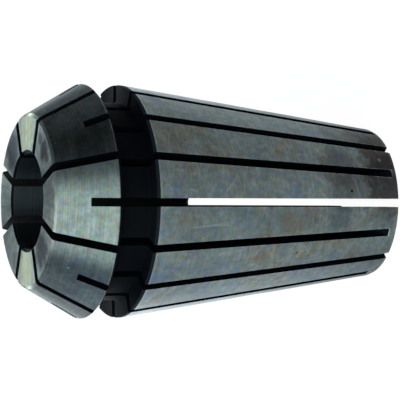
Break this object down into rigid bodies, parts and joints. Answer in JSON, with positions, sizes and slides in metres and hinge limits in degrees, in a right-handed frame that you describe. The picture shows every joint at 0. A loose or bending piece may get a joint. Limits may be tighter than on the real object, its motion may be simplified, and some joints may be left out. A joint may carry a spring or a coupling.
{
  "type": "er collet",
  "caption": "Slotted spring collet with a steep nose cone, an extraction groove and a long shallow taper, split from alternate ends round a straight bore.",
  "frame": {"origin": "centre of the small back face, which the collet stands on", "axes": "+Z along the collet's axis, from the small back face up to the nose face; one of the slots sawn from the back faces -Y, and X and Y complete the right-handed frame"},
  "size_m": [0.017, 0.017, 0.0272],
  "materials": {
    "collet": "hardened spring steel: ground seat and nose cone, turned nose face, black oxide left in the groove, slots and bore"
  },
  "bodies": {
    "root": {"collet": "collet"}
  },
  "joints": []
}
